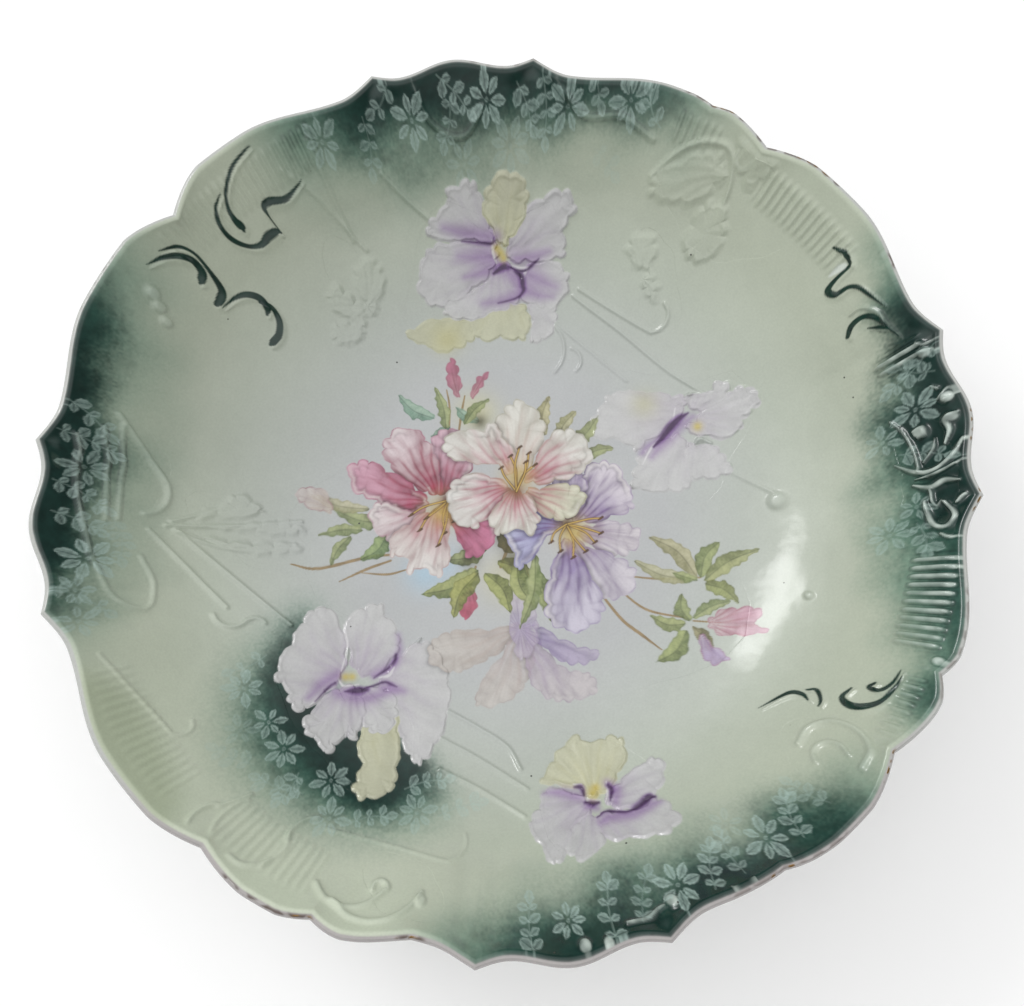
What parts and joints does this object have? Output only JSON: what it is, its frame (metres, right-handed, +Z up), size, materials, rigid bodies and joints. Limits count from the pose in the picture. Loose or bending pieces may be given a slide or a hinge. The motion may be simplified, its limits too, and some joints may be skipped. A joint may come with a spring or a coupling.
{
  "type": "serving bowl",
  "caption": "Round porcelain serving bowl with a coved wall, a lobed and pointed rim, low-relief flowers, a printed bouquet in the well and a flat foot ring.",
  "frame": {"origin": "centre of the foot's resting plane, under the middle of the bowl", "axes": "+Z up out of the bowl, +Y towards its back, +X to its right"},
  "size_m": [0.2678, 0.2678, 0.0663],
  "materials": {
    "porcelain": "clear gloss glaze over white porcelain with airbrushed green and pale yellow colour",
    "bare_porcelain": "glazed sides and a matt, ground, unglazed resting face",
    "gold": "thin fired gold, largely worn away",
    "printed_colour": "printed ceramic colours fired on the glaze",
    "tinted_relief": "glossy relief petals tinted lavender and pale yellow",
    "green_relief": "glossy relief scrollwork under dark green airbrushing"
  },
  "bodies": {
    "root": {"bowl_body": "porcelain", "foot_ring": "bare_porcelain", "gilt_edge": "gold", "bouquet_transfer": "printed_colour", "iris_back": "tinted_relief", "iris_right": "tinted_relief", "iris_front_left": "tinted_relief", "iris_front_right": "tinted_relief", "iris_left": "porcelain", "iris_rim": "porcelain", "bud_back_left": "porcelain", "bud_back_right": "porcelain", "scroll_left": "green_relief", "scroll_right": "green_relief", "scroll_front": "porcelain", "shell_front": "green_relief"}
  },
  "joints": []
}
